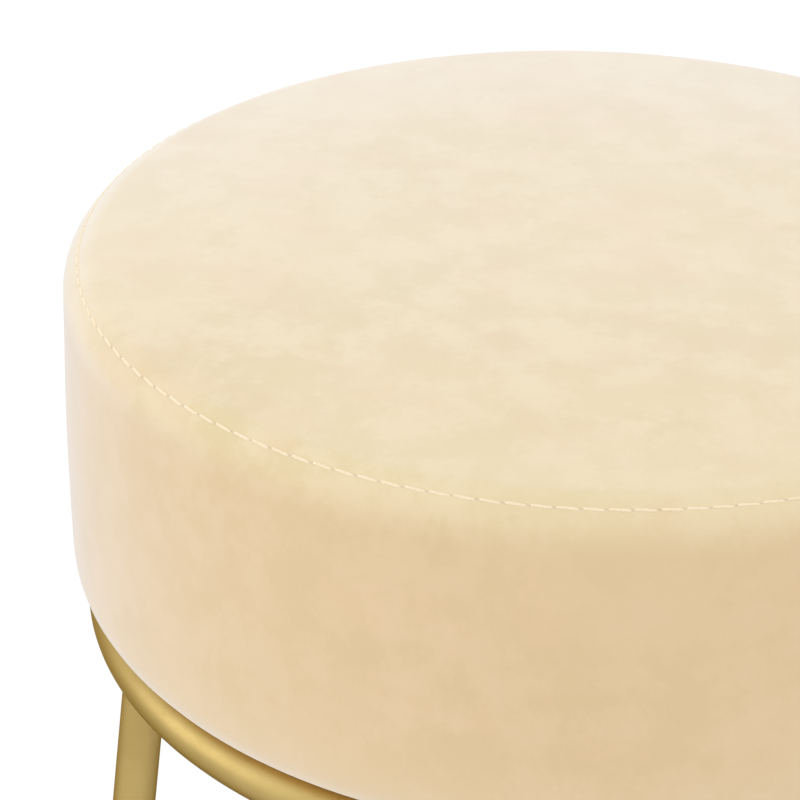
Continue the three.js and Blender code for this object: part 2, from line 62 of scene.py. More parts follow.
EDGE_Z = SEAT_HEIGHT - CROWN_RISE
UNDERSIDE_Z = EDGE_Z - CUSHION_DEPTH
TOP_ARC_R = SEAT_RADIUS - TOP_EDGE_RADIUS
TOP_ARC_Z = EDGE_Z - TOP_EDGE_RADIUS
CROWN_SLOPE = 4 * CROWN_RISE / SEAT_RADIUS  # at the crown's rim
CROWN_END = math.pi / 2 - CROWN_SLOPE  # up round the top edge, where the crown starts
BOTTOM_ARC_R = SEAT_RADIUS + BAND_FLARE - BOTTOM_EDGE_RADIUS
BOTTOM_ARC_Z = UNDERSIDE_Z + BOTTOM_EDGE_RADIUS

# Swells of the padded pieces, as (width, height); the cover's fade out by the seam and by its foot
TOP_SWELLS = (0.11, 0.45 * MM)
BAND_SWELLS = (0.1, 0.4 * MM)
FOAM_SWELLS = (0.07, 0.4 * MM)
WADDING_SWELLS = (0.05, 0.2 * MM)
SEAM_CALM = 4 * MM  # from the seam to where the swells start
SEAM_CALM_END = 26 * MM  # and to where they have their full height
FOOT_CALM = 30 * MM  # the same, up from the underside

# Cushion filling
WADDING_DEPTH = VELVET_THICKNESS + SOFT_GAP  # of the wadding's outside, under the velvet's
WADDING_THICKNESS = 8 * MM
FOAM_DEPTH = WADDING_DEPTH + WADDING_THICKNESS + SOFT_GAP
BOARD_THICKNESS = 12 * MM
BOARD_TOP_Z = UNDERSIDE_Z + VELVET_THICKNESS + SOFT_GAP + BOARD_THICKNESS

# Stitching
STITCH_COUNT = 144
STITCH_PITCH = 2 * math.pi / STITCH_COUNT
STITCH_PHASE = math.radians(1.58)  # of a stitch's middle
STITCH_SHARE = 0.97  # of the way to the next stitch
THREAD_RADIUS = 0.54 * MM
STITCH_DEPTH = 0.14 * MM  # of the thread's middle under the panels' edges
STITCH_SINK = 0.6 * MM  # of its ends below that
STITCH_SLANT = 0.22 * MM  # of each end across the seam
PUCKER = 0.1 * MM  # how deep the needle holes pull the velvet in
PUCKER_REACH = 2.2 * MM

# Frame
RING_TUBE_RADIUS = 9.5 * MM
RING_INSET = 14.4 * MM  # from the cushion's widest part in to the middle of the tube
RING_RADIUS = SEAT_RADIUS + BAND_FLARE - RING_INSET
RING_INSIDE_RADIUS = RING_RADIUS - RING_TUBE_RADIUS
RING_Z = UNDERSIDE_Z - SOFT_GAP - RING_TUBE_RADIUS
LEG_RADIUS = 8 * MM
LEG_WALL = 1.2 * MM
LEG_SPLAY = math.radians(6.7)
LEG_SINK = 0.6 * MM  # how far a leg runs into the ring's wall, as if welded
LEG_REACH = RING_Z / math.cos(LEG_SPLAY)
LEG_COUNT = 4

# Feet
GLIDE_THICKNESS = 4 * MM  # plastic under the tube's end
GLIDE_FIT = 0.1 * MM  # between the glide and its tube
GLIDE_RIM = 0.5 * MM
GLIDE_PLUG_LENGTH = 16 * MM
GLIDE_PLUG_BEVEL = 0.6 * MM
GLIDE_BLANK = 12 * MM  # how far the glide reaches down before it is cut at the floor

# Dust cloth
CLOTH_RADIUS = RING_INSIDE_RADIUS - 6 * MM
CLOTH_Z = UNDERSIDE_Z - SOFT_GAP
CLOTH_THICKNESS = 0.5 * MM
CLOTH_SPACE = 0.6 * MM  # that the cloth takes up with its slack
CLOTH_SAG = 1.2 * MM  # of its middle
CLOTH_EDGE = 20 * MM  # outside which it doesn't sag
CLOTH_DROP = 0.35 * MM  # of the stretch inside the staples, with as much of creases
CLOTH_DROP_START = 30 * MM  # in from its edge
CLOTH_DROP_END = 60 * MM
CLOTH_CREASE_WIDTH = 30 * MM
CLOTH_SLACK = 0.25 * MM  # of its edge between two staples
CLOTH_SLACK_LOW = 8 * MM  # in from its edge to where the slack hangs lowest
CLOTH_SLACK_END = 35 * MM
STAPLE_COUNT = 12
FIRST_STAPLE = math.radians(15)

# Seat fixings
FIXING_COUNT = 4
FIXING_RADIUS = RING_INSIDE_RADIUS - 24 * MM
FOLD_EDGE_RADIUS = FIXING_RADIUS - 15 * MM  # inner edge of the velvet turned in under the board
TAB_THICKNESS = 3 * MM
TAB_Z = CLOTH_Z - CLOTH_SPACE - SOFT_GAP - TAB_THICKNESS
STACK_GAP = 0.1 * MM  # between faces that a screw pulls together
WASHER_THICKNESS = 1.4 * MM
WASHER_RADIUS = 7.5 * MM
WASHER_BORE = 3.3 * MM
WASHER_RIM = 0.3 * MM
WASHER_Z = TAB_Z - STACK_GAP - WASHER_THICKNESS
SCREW_RADIUS = 3 * MM
SCREW_LENGTH = 16 * MM
SCREW_HEAD_TOP_Z = WASHER_Z - STACK_GAP
# The head's outline in mm from the middle of its face, as (radius, depth under its top)
SCREW_HEAD = [(0, 3.3), (2.9, 3.3), (3.6, 3.1), (4.4, 2.5), (4.95, 1.6), (5.2, 0.6), (5.25, 0.3), (5.1, 0)]
SOCKET_RADIUS = 2.3 * MM  # to the corners of the hexagon
SOCKET_DEPTH = 2 * MM
SCREW_TURN = math.radians(17)  # by which the screws stop at different turns

# The photograph's camera
LENS = 134.52
CAMERA_DISTANCE = 0.99956
CAMERA_HEIGHT = 0.47797  # above the seat's edge
CAMERA_AZIMUTH = math.radians(285.22)
CAMERA_PITCH = math.radians(28.76)
CAMERA_HEADING = math.radians(109.247)
CAMERA_ROLL = math.radians(0.644)


# Camera

def add_camera():
    """The camera, standing where the photograph was taken from."""
    lens = bpy.data.cameras.new("camera")
    lens.lens = LENS
    lens.sensor_width = 36
    lens.clip_start = 0.01
    lens.clip_end = 50
    eye = bpy.data.objects.new("camera", lens)
    bpy.context.scene.collection.objects.link(eye)
    place = Vector((math.cos(CAMERA_AZIMUTH), math.sin(CAMERA_AZIMUTH), 0)) * CAMERA_DISTANCE
    eye.location = place + Vector((0, 0, EDGE_Z + CAMERA_HEIGHT))
    heading = Matrix.Rotation(CAMERA_HEADING - math.pi / 2, 3, "Z")
    pitch = Matrix.Rotation(math.pi / 2 - CAMERA_PITCH, 3, "X")
    eye.rotation_euler = (heading @ pitch @ Matrix.Rotation(CAMERA_ROLL, 3, "Z")).to_euler()
    bpy.context.scene.camera = eye


add_camera()


# Modelling

def clear_selection():
    bpy.ops.object.select_all(action="DESELECT")


def pick(piece):
    """Makes a piece the only one selected."""
    clear_selection()
    piece.select_set(True)
    bpy.context.view_layer.objects.active = piece


def start_at(name, point):
    """A new mesh of one point, left open for editing."""
    clear_selection()
    bpy.ops.mesh.primitive_plane_add(size=MM, location=(0, 0, 0))
    piece = bpy.context.object
    piece.name = piece.data.name = name
    bpy.ops.object.mode_set(mode="EDIT")
    bpy.ops.mesh.merge(type="CENTER")
    bpy.ops.transform.translate(value=point)
    return piece


def turned(name, outline, steps, closed=False):
    """A piece turned about the Z axis from (radius, height) points."""
    points = [Vector((r, 0, z)) for r, z in outline]
    if closed:
        points.append(points[0])
    piece = start_at(name, points[0])
    for before, after in zip(points, points[1:]):
        bpy.ops.mesh.extrude_vertices_move(TRANSFORM_OT_translate={"value": after - before})
    bpy.ops.mesh.select_all(action="SELECT")
    bpy.ops.mesh.spin(steps=steps, angle=2 * math.pi, center=(0, 0, 0), axis=(0, 0, 1))
    bpy.ops.mesh.select_all(action="SELECT")
    bpy.ops.mesh.remove_doubles(threshold=1e-6)
    bpy.ops.mesh.normals_make_consistent(inside=False)
    bpy.ops.object.mode_set(mode="OBJECT")
    return piece


def place(piece, matrix):
    """Moves a piece and fixes its new place in its mesh."""
    piece.matrix_world = matrix
    pick(piece)
    bpy.ops.object.transform_apply(location=True, rotation=True, scale=True)


def copy_of(piece, name, matrix):
    """A copy of a piece with a mesh of its own, at another place."""
    pick(piece)
    bpy.ops.object.duplicate()
    copy = bpy.context.object
    copy.name = copy.data.name = name
    place(copy, matrix)
    return copy


def smooth(piece, angle=None):
    """Shades a piece smooth, but for the edges that are sharper than an angle."""
    pick(piece)
    if angle is None:
        bpy.ops.object.shade_smooth()
    else:
        bpy.ops.object.shade_smooth_by_angle(angle=math.radians(angle))


def cut_away(piece, tool):
    """Takes another shape out of a piece, and removes that shape."""
    cut = piece.modifiers.new("cut", "BOOLEAN")
    cut.operation = "DIFFERENCE"
    cut.solver = "EXACT"
    cut.object = tool
    pick(piece)
    bpy.ops.object.modifier_apply(modifier=cut.name)
    bpy.data.objects.remove(tool)


def finished(piece, slot, material, *nodes):
    """Finishes a piece: gives it its material, hangs it under the root body and hides the solids that it
    stands for. The slot is not used.
    """
    piece.data.materials.clear()
    piece.data.materials.append(material)
    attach(piece, "root")
    if nodes:
        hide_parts(*nodes)
    return piece


def arc(centre, radius, start, end, count):
    """Points of a circle's arc, both ends included."""
    angles = [start + (end - start) * i / count for i in range(count + 1)]
    return [(centre[0] + radius * math.cos(a), centre[1] + radius * math.sin(a)) for a in angles]


# Materials

def linear(code):
    """The colour that a six-figure colour code names, with light measured linearly."""
    parts = [int(code[i : i + 2], 16) / 255 for i in (0, 2, 4)]
    return [p / 12.92 if p <= 0.04045 else ((p + 0.055) / 1.055) ** 2.4 for p in parts] + [1]


class Finish:
    """A material under construction: a surface shader and the patterns that feed it."""

    def __init__(self, name, **values):
        self.material = bpy.data.materials.new(name)
        self.material.use_nodes = True
        self.nodes = self.material.node_tree.nodes
        self.links = self.material.node_tree.links
        self.shader = self.nodes["Principled BSDF"]
        for socket, value in values.items():
            self.shader.inputs[socket.replace("_", " ")].default_value = value
        self.place = self.nodes.new("ShaderNodeTexCoord").outputs["Object"]

    def stretched(self, scale, turn=0):
        """The piece's own coordinates, scaled along each axis and turned about Z."""
        mapping = self.nodes.new("ShaderNodeMapping")
        mapping.inputs["Scale"].default_value = scale
        mapping.inputs["Rotation"].default_value = (0, 0, turn)
        self.links.new(self.place, mapping.inputs["Vector"])
        return mapping.outputs["Vector"]

    def noise(self, scale, detail=3, roughness=0.5, distortion=0, where=None):
        """A soft noise pattern, from 0 to 1."""
        pattern = self.nodes.new("ShaderNodeTexNoise")
        pattern.inputs["Scale"].default_value = scale
        pattern.inputs["Detail"].default_value = detail
        pattern.inputs["Roughness"].default_value = roughness
        pattern.inputs["Distortion"].default_value = distortion
        self.links.new(where or self.place, pattern.inputs["Vector"])
        return pattern.outputs["Fac"]

    def cells(self, scale, where=None):
        """The distance to the nearest of many scattered points."""
        pattern = self.nodes.new("ShaderNodeTexVoronoi")
        pattern.inputs["Scale"].default_value = scale
        self.links.new(where or self.place, pattern.inputs["Vector"])
        return pattern.outputs["Distance"]

    def ranged(self, source, low, high, to_low=0, to_high=1):
        """A pattern's stretch from low to high, spread over another range."""
        spread = self.nodes.new("ShaderNodeMapRange")
        spread.interpolation_type = "SMOOTHSTEP"
        limits = {"From Min": low, "From Max": high, "To Min": to_low, "To Max": to_high}
        for socket, value in limits.items():
            spread.inputs[socket].default_value = value
        self.links.new(source, spread.inputs["Value"])
        return spread.outputs["Result"]

    def mixed(self, share, first, second):
        """Two colours mixed by a pattern. A colour is a code or another mix."""
        mix = self.nodes.new("ShaderNodeMix")
        mix.data_type = "RGBA"
        self.links.new(share, mix.inputs[0])
        for socket, colour in ((mix.inputs[6], first), (mix.inputs[7], second)):
            if isinstance(colour, str):
                socket.default_value = linear(colour)
            else:
                self.links.new(colour, socket)
        return mix.outputs[2]

    def height(self):
        """Each point's height above the floor."""
        parts = self.nodes.new("ShaderNodeSeparateXYZ")
        self.links.new(self.place, parts.inputs["Vector"])
        return parts.outputs["Z"]

    def facing(self):
        """Rises from 0, where the surface is seen from the front, to 1, where it is seen edge on."""
        return self.nodes.new("ShaderNodeLayerWeight").outputs["Facing"]

    def product(self, first, second):
        """One pattern times another."""
        times = self.nodes.new("ShaderNodeMath")
        times.operation = "MULTIPLY"
        self.links.new(first, times.inputs[0])
        self.links.new(second, times.inputs[1])
        return times.outputs["Value"]

    def feed(self, socket, source):
        self.links.new(source, self.shader.inputs[socket])

    def bumped(self, source, strength, distance, under=None):
        """Relief from a pattern, over an earlier relief."""
        bump = self.nodes.new("ShaderNodeBump")
        bump.inputs["Strength"].default_value = strength
        bump.inputs["Distance"].default_value = distance
        self.links.new(source, bump.inputs["Height"])
        if under is not None:
            self.links.new(under, bump.inputs["Normal"])
        self.links.new(bump.outputs["Normal"], self.shader.inputs["Normal"])
        return bump.outputs["Normal"]


def velvet_finish():
    """Cream velvet: short pile brushed into soft patches, with painted shade making the side darker and
    warmer than the top, painted bounce light making the foot paler and warmer, and painted sheen making
    the top paler seen edge on.
    """
    finish = Finish("velvet", Roughness=0.9, Sheen_Weight=1.0, Sheen_Roughness=0.47)
    finish.shader.inputs["Sheen Tint"].default_value = linear("e8ecf5")
    finish.shader.inputs["Specular IOR Level"].default_value = 0.1
    # Painted shade: below this mask the side takes darker, warmer colours than the top, standing in for
    # the side being lit less than the top.
    seat = finish.ranged(finish.height(), EDGE_Z - 21 * MM, EDGE_Z - 2 * MM)
    broad = finish.noise(7, 3, 0.5)
    clouds = finish.noise(38, 9, 0.7)
    patches = finish.noise(22, 7, 0.64, 0, finish.stretched((1, 1.2, 1.1), 1.3))
    marks = finish.noise(15, 9, 0.72, 0, finish.stretched((1.2, 1, 0.9), 0.4))
    pile = finish.noise(1500, 2, 0.6)
    deep = finish.mixed(seat, "e2c699", "e6d3a8")
    even = finish.mixed(seat, "e4c99d", "ebd8b0")
    pale = finish.mixed(seat, "e7cca3", "efddb8")
    base = finish.mixed(finish.ranged(broad, 0.35, 0.65), deep, even)
    cloudy = finish.mixed(finish.ranged(clouds, 0.42, 0.58, 0, 0.85), base, pale)
    warm = finish.mixed(finish.ranged(patches, 0.5, 0.62, 0, 0.35), cloudy, "eacda7")
    marked = finish.mixed(finish.ranged(marks, 0.56, 0.64, 0, 0.8), warm, deep)
    # Painted bounce light: the side is mixed toward a paler colour over its lowest 40 mm.
    low = finish.ranged(finish.height(), UNDERSIDE_Z, UNDERSIDE_Z + 40 * MM, 0.4, 0)
    painted_floor_bounce = finish.mixed(low, marked, "ecd6b6")
    # Painted warm bounce light: the foot's turn-under is mixed toward a warm pale colour.
    warm_bounce_share = finish.ranged(finish.height(), UNDERSIDE_Z + 2 * MM, UNDERSIDE_Z + 13 * MM, 0.8, 0)
    rim = finish.mixed(warm_bounce_share, painted_floor_bounce, "ffe1ac")
    fibres = finish.mixed(finish.ranged(pile, 0.3, 0.7, 0.035, 0), rim, "a88a58")
    # Painted sheen: the top is mixed toward a paler colour where it is seen edge on.
    painted_sheen = finish.product(finish.ranged(finish.facing(), 0.48, 0.68, 0, 0.27), seat)
    finish.feed("Base Color", finish.mixed(painted_sheen, fibres, "f5ebe0"))
    swell = finish.bumped(clouds, 0.03, 0.001)
    finish.bumped(pile, 0.1, 0.0003, swell)
    return finish.material


def thread_finish():
    finish = Finish("thread", Roughness=0.55, Sheen_Weight=0.3)
    twist = finish.noise(1800, 1, 0.5)
    finish.feed("Base Color", finish.mixed(finish.ranged(twist, 0.35, 0.65), "f7e2bb", "fdedcf"))
    finish.bumped(twist, 0.3, 0.0002)
    return finish.material


def gold_finish():
    """Satin gold plating with a faint, cloudy grain, and painted shade that darkens it where it is seen
    edge on, in place of dark reflections.
    """
    finish = Finish("gold_metal", Metallic=1.0, Roughness=0.42)
    finish.shader.inputs["Specular Tint"].default_value = linear("cbb893")
    cloud = finish.noise(30, 4, 0.6)
    grain = finish.noise(900, 3, 0.7)
    body = finish.mixed(finish.ranged(cloud, 0.35, 0.65), "c0a566", "c8ae6e")
    # Painted shade: the colour darkens toward the tube's edges as seen, standing in for dark reflections.
    finish.feed("Base Color", finish.mixed(finish.ranged(finish.facing(), 0.1, 0.9), body, "a48b5a"))
    finish.feed("Roughness", finish.ranged(grain, 0.3, 0.7, 0.38, 0.46))
    finish.bumped(grain, 0.05, 0.0001)
    return finish.material


def zinc_finish():
    finish = Finish("zinc_steel", Metallic=1.0, Roughness=0.35)
    stain = finish.noise(160, 4, 0.6)
    finish.feed("Base Color", finish.mixed(finish.ranged(stain, 0.3, 0.7), "a9adb0", "c9ccce"))
    finish.feed("Roughness", finish.ranged(stain, 0.3, 0.7, 0.28, 0.45))
    return finish.material


def glide_finish():
    finish = Finish("glide_plastic", Roughness=0.5)
    grain = finish.noise(1500, 2, 0.5)
    scuffs = finish.noise(120, 5, 0.7, 0, finish.stretched((1, 1, 3)))
    finish.feed("Base Color", finish.mixed(finish.ranged(scuffs, 0.55, 0.75), "161616", "2b2a29"))
    finish.feed("Roughness", finish.ranged(scuffs, 0.4, 0.7, 0.42, 0.6))
    finish.bumped(grain, 0.15, 0.0001)
    return finish.material


def dust_cloth_finish():
    """Black spunbonded cloth, with pressed dots and fine fibres."""
    finish = Finish("dust_cloth", Roughness=0.92, Sheen_Weight=0.1)
    dots = finish.cells(420)
    fibres = finish.noise(700, 4, 0.7, 0.5, finish.stretched((1, 3, 1)))
    body = finish.mixed(finish.ranged(fibres, 0.35, 0.7), "141415", "262628")
    finish.feed("Base Color", finish.mixed(finish.ranged(dots, 0.15, 0.4, 0.5, 0), body, "0c0c0d"))
    finish.bumped(dots, 0.5, 0.0003)
    return finish.material


def plywood_finish():
    """Rotary-cut birch face, with long soft figure."""
    finish = Finish("plywood", Roughness=0.7)
    figure = finish.noise(6, 6, 0.6, 1.2, finish.stretched((2, 14, 14)))
    pores = finish.noise(300, 3, 0.6, 0, finish.stretched((0.2, 2, 2)))
    body = finish.mixed(finish.ranged(figure, 0.35, 0.65), "b98f58", "d6b37c")
    finish.feed("Base Color", finish.mixed(finish.ranged(pores, 0.55, 0.75, 0, 0.4), body, "9a7444"))
    finish.bumped(pores, 0.2, 0.0003)
    return finish.material


def foam_finish():
    finish = Finish("foam", Roughness=1.0)
    cells = finish.cells(900)
    finish.feed("Base Color", finish.mixed(finish.ranged(cells, 0.1, 0.6), "cdbf85", "efe6b8"))
    finish.bumped(cells, 0.6, 0.0006)
    return finish.material


def wadding_finish():
    finish = Finish("wadding", Roughness=1.0, Sheen_Weight=0.3)
    fibres = finish.noise(260, 5, 0.75, 1.5)
    finish.feed("Base Color", finish.mixed(finish.ranged(fibres, 0.3, 0.7), "e6e4de", "fbfaf7"))
    finish.bumped(fibres, 0.6, 0.001)
    return finish.material


velvet = velvet_finish()
thread = thread_finish()
gold = gold_finish()
zinc = zinc_finish()
glide_plastic = glide_finish()
dust_cloth_black = dust_cloth_finish()
plywood = plywood_finish()
foam_yellow = foam_finish()
wadding_white = wadding_finish()


# Cushion

def seam_draw(distance):
    """How far the stitching draws the surface in, so far along it from the seam."""
    return SEAM_DRAW * math.exp(-((distance / SEAM_DRAW_REACH) ** 2))


def seam_point(depth, above=0):
    """A point so deep inside the seam, on the line between the panels, and so far above that line."""
    reach = TOP_EDGE_RADIUS - SEAM_DRAW - depth
    r = TOP_ARC_R + reach * math.cos(SEAM_ANGLE) - above * math.sin(SEAM_ANGLE)
    z = TOP_ARC_Z + reach * math.sin(SEAM_ANGLE) + above * math.cos(SEAM_ANGLE)
    return r, z


def crown_outline(count, inset=0):
    """From the seat's middle to where its edge starts to turn down, without that point."""
    reach = TOP_EDGE_RADIUS - inset
    rim_r = TOP_ARC_R + reach * math.cos(CROWN_END)
    rim_z = TOP_ARC_Z + reach * math.sin(CROWN_END)
    rise = EDGE_Z + CROWN_RISE - inset - rim_z
    shares = [i / count for i in range(count)]
    return [(rim_r * share, rim_z + rise * (1 - share**4)) for share in shares]


def edge_outline(start, end, count, inset=0):
    """Along the rounded top edge, between two angles up from level."""
    points = []
    for i in range(count + 1):
        angle = start + (end - start) * i / count
        reach = TOP_EDGE_RADIUS - inset - seam_draw(TOP_EDGE_RADIUS * (angle - SEAM_ANGLE))
        points.append((TOP_ARC_R + reach * math.cos(angle), TOP_ARC_Z + reach * math.sin(angle)))
    return points


def side_outline(inset=0, count=22):
    """Down the band, from under the rounded edge to above the bottom edge."""
    points = []
    for i in range(1, count):
        share = i / count
        z = TOP_ARC_Z + (BOTTOM_ARC_Z - TOP_ARC_Z) * share
        swell = BAND_FLARE * share + 4 * BAND_BULGE * share * (1 - share)
        points.append((SEAT_RADIUS + swell - inset, z))
    return points


def bottom_outline(inset=0, count=8):
    """Round the bottom edge, from the band to the underside."""
    return arc((BOTTOM_ARC_R, BOTTOM_ARC_Z), BOTTOM_EDGE_RADIUS - inset, 0, -math.pi / 2, count)


def part_way(value, start, end):
    """How far a value has come from start to end, kept between 0 and 1."""
    return min(max((value - start) / (end - start), 0), 1)


def unevenness(point, size):
    """A gentle swell of padded cloth, mostly between -1 and 1."""
    return noise.noise(point / size) + 0.4 * noise.noise(point * 2.3 / size + Vector((3, 1, 7)))


def hand_made(piece, size, height):
    """Gives a cushion panel its slight swells, and a pucker at each needle hole of the seam."""
    seam = Vector(seam_point(0))
    inward = Vector((-math.cos(SEAM_ANGLE), -math.sin(SEAM_ANGLE)))
    for vertex in piece.data.vertices:
        point = vertex.co.copy()
        radial = Vector((point.x, point.y, 0)).normalized()
        here = Vector((math.hypot(point.x, point.y), point.z))
        from_seam = (here - seam).length
        by_seam = part_way(from_seam, SEAM_CALM, SEAM_CALM_END)
        by_foot = part_way(point.z, UNDERSIDE_Z, UNDERSIDE_Z + FOOT_CALM)
        lift = unevenness(point, size) * height * by_seam * by_foot
        out = Vector((0, 0, 1)) if point.z > seam.y else radial
        turn = math.atan2(point.y, point.x) - STITCH_PHASE
        hole = (1 - math.cos(STITCH_COUNT * turn)) / 2
        pull = PUCKER * hole * math.exp(-((from_seam / PUCKER_REACH) ** 2))
        vertex.co = point + out * lift + (radial * inward.x + Vector((0, 0, inward.y))) * pull


def cover_top():
    """The round panel that is sat on, with its edge turned down into the seam."""
    above = SEAM_GAP + VELVET_THICKNESS
    seam_end = SEAM_ANGLE + SEAM_GAP / TOP_EDGE_RADIUS
    outer = crown_outline(28) + edge_outline(CROWN_END, seam_end, 16)
    lip = [seam_point(LIP_DEPTH, SEAM_GAP), seam_point(LIP_DEPTH, above)]
    inner_start = SEAM_ANGLE + 1.5 * VELVET_THICKNESS / TOP_EDGE_RADIUS
    inner = edge_outline(inner_start, CROWN_END, 5, VELVET_THICKNESS)
    inner += crown_outline(8, VELVET_THICKNESS)[::-1]
    piece = turned("cushion_top", outer + lip + inner, 4 * STITCH_COUNT)
    hand_made(piece, *TOP_SWELLS)
    smooth(piece)
    return piece


def cover_band():
    """The strip round the side, turned in at the seam above and folded under the board below."""
    below = SEAM_GAP + VELVET_THICKNESS
    seam_end = SEAM_ANGLE - SEAM_GAP / TOP_EDGE_RADIUS
    outer = edge_outline(seam_end, 0, 16) + side_outline() + bottom_outline()
    inner = bottom_outline(VELVET_THICKNESS, 4)[::-1] + side_outline(VELVET_THICKNESS, 6)[::-1]
    inner += edge_outline(0, SEAM_ANGLE - 1.5 * VELVET_THICKNESS / TOP_EDGE_RADIUS, 5, VELVET_THICKNESS)
    fold = [(FOLD_EDGE_RADIUS, UNDERSIDE_Z), (FOLD_EDGE_RADIUS, UNDERSIDE_Z + VELVET_THICKNESS)]
    lip = [seam_point(LIP_DEPTH, -below), seam_point(LIP_DEPTH, -SEAM_GAP)]
    piece = turned("cushion_band", outer + fold + inner + lip, 4 * STITCH_COUNT, closed=True)
    hand_made(piece, *BAND_SWELLS)
    smooth(piece)
    return piece


def stitches():
    """The sewing thread: one stitch swept over the seam, and set all the way round it."""
    steps = 12
    shapes = []
    for i in range(steps + 1):
        way = 2 * i / steps - 1
        dip = abs(way) ** 6
        r, height = seam_point(STITCH_DEPTH + STITCH_SINK * dip, -STITCH_SLANT * way)
        turn = STITCH_PHASE + way * STITCH_PITCH * STITCH_SHARE / 2
        centre = Vector((r * math.cos(turn), r * math.sin(turn), height))
        shapes.append((centre, THREAD_RADIUS * (1 - 0.5 * dip)))
    clear_selection()
    bpy.ops.mesh.primitive_circle_add(
        vertices=8,
        radius=shapes[0][1],
        fill_type="NGON",
        location=shapes[0][0],
        rotation=(math.pi / 2, 0, STITCH_PHASE),
    )
    piece = bpy.context.object
    piece.name = piece.data.name = "seam_stitches"
    bpy.ops.object.transform_apply(location=True, rotation=True, scale=True)
    bpy.ops.object.mode_set(mode="EDIT")
    bpy.ops.mesh.select_all(action="SELECT")
    for (before, size), (after, next_size) in zip(shapes, shapes[1:]):
        bpy.ops.mesh.extrude_region_move(TRANSFORM_OT_translate={"value": after - before})
        share = next_size / size
        bpy.ops.transform.resize(value=(share, share, share), center_override=after)
    bpy.ops.mesh.select_all(action="SELECT")
    bpy.ops.mesh.normals_make_consistent(inside=False)
    more = STITCH_COUNT - 1
    bpy.ops.mesh.spin(steps=more, dupli=True, angle=more * STITCH_PITCH, center=(0, 0, 0), axis=(0, 0, 1))
    bpy.ops.object.mode_set(mode="OBJECT")
    smooth(piece)
    return piece


def soft_layer(name, inset, lower, size, height):
    """A layer inside the cover, so far under its outside, with the rest of its outline given."""
    outline = crown_outline(14, inset) + edge_outline(CROWN_END, 0, 8, inset) + lower
    piece = turned(name, outline, 120)
    for vertex in piece.data.vertices:
        if vertex.co.z > EDGE_Z - inset - 1 * MM:
            vertex.co.z -= abs(unevenness(vertex.co, size)) * height
    smooth(piece, 40)
    return piece


def foam_block():
    """The foam seat pad, cut level where it lies on the board."""
    floor_z = BOARD_TOP_Z + SOFT_GAP
    side = [(r, z) for r, z in side_outline(FOAM_DEPTH) if z > floor_z + 2 * MM]
    foot = side[-1][0]
    return soft_layer("foam_block", FOAM_DEPTH, side + [(foot, floor_z), (0, floor_z)], *FOAM_SWELLS)


def wadding_layer():
    """Fibre wadding over the foam, down the side and in under the board's edge."""
    inside = WADDING_DEPTH + WADDING_THICKNESS
    inner = bottom_outline(inside, 4)[::-1] + side_outline(inside)[::-1]
    inner += edge_outline(0, CROWN_END, 8, inside) + crown_outline(14, inside)[::-1]
    lower = side_outline(WADDING_DEPTH) + bottom_outline(WADDING_DEPTH)
    return soft_layer("wadding_layer", WADDING_DEPTH, lower + inner, *WADDING_SWELLS)


def under_cloth():
    """The black cloth under the seat, pulled tight between its staples."""
    rings = 24
    radii = [CLOTH_RADIUS * i / rings for i in range(rings + 1)]
    outline = [(r, CLOTH_Z - CLOTH_THICKNESS) for r in radii] + [(r, CLOTH_Z) for r in radii[::-1]]
    piece = turned("under_cloth", outline, 144)
    for vertex in piece.data.vertices:
        flat = Vector((vertex.co.x, vertex.co.y, 0))
        inward = CLOTH_RADIUS - flat.length
        turn = math.atan2(flat.y, flat.x)
        between_staples = (1 - math.cos(STAPLE_COUNT * (turn - FIRST_STAPLE))) / 2
        near_edge = max(1 - inward / CLOTH_SLACK_END, 0) * min(inward / CLOTH_SLACK_LOW, 1)
        sag = CLOTH_SAG * max(1 - (flat.length / (CLOTH_RADIUS - CLOTH_EDGE)) ** 2, 0)
        crease = noise.noise(flat / CLOTH_CREASE_WIDTH)
        drop = CLOTH_DROP * (1 + crease) * part_way(inward, CLOTH_DROP_START, CLOTH_DROP_END)
        vertex.co.z -= sag + drop + CLOTH_SLACK * between_staples * near_edge
    smooth(piece, 30)
    return piece


seat = finished(cover_top(), "velvet", velvet, "cover_top_panel")
band = finished(cover_band(), "velvet", velvet, "cover_side_band")
finished(stitches(), "thread", thread, "seam_thread")
foam = finished(foam_block(), "foam", foam_yellow, "foam_pad")
wadding = finished(wadding_layer(), "wadding", wadding_white, "wadding_wrap")
cloth = finished(under_cloth(), "dust_cloth", dust_cloth_black, "dust_cloth")


# Frame

def ring(name, tube_radius):
    """The bent tube, or a bar of another thickness along the same circle."""
    section = arc((RING_RADIUS, RING_Z), tube_radius, 0, 2 * math.pi, 40)[:-1]
    return turned(name, section, 240, closed=True)


def frame_ring():
    piece = ring("ring_tube", RING_TUBE_RADIUS)
    smooth(piece)
    return piece


def on_leg_axis(azimuth):
    """Turns and moves a shape that stands on the Z axis to a leg's place under the ring."""
    lean = Matrix.Rotation(-LEG_SPLAY, 4, "Y")
    reach = Matrix.Translation((RING_RADIUS, 0, RING_Z))
    return Matrix.Rotation(azimuth, 4, "Z") @ reach @ lean


def leg(azimuth, name):
    """A leg tube, coped to the ring's curve."""
    foot = GLIDE_THICKNESS - LEG_REACH
    bore = LEG_RADIUS - LEG_WALL
    piece = turned(name, [(bore, foot), (LEG_RADIUS, foot), (LEG_RADIUS, 0), (bore, 0)], 56, closed=True)
    place(piece, on_leg_axis(azimuth))
    cut_away(piece, ring("cope", RING_TUBE_RADIUS - LEG_SINK))
    smooth(piece, 35)
    return piece


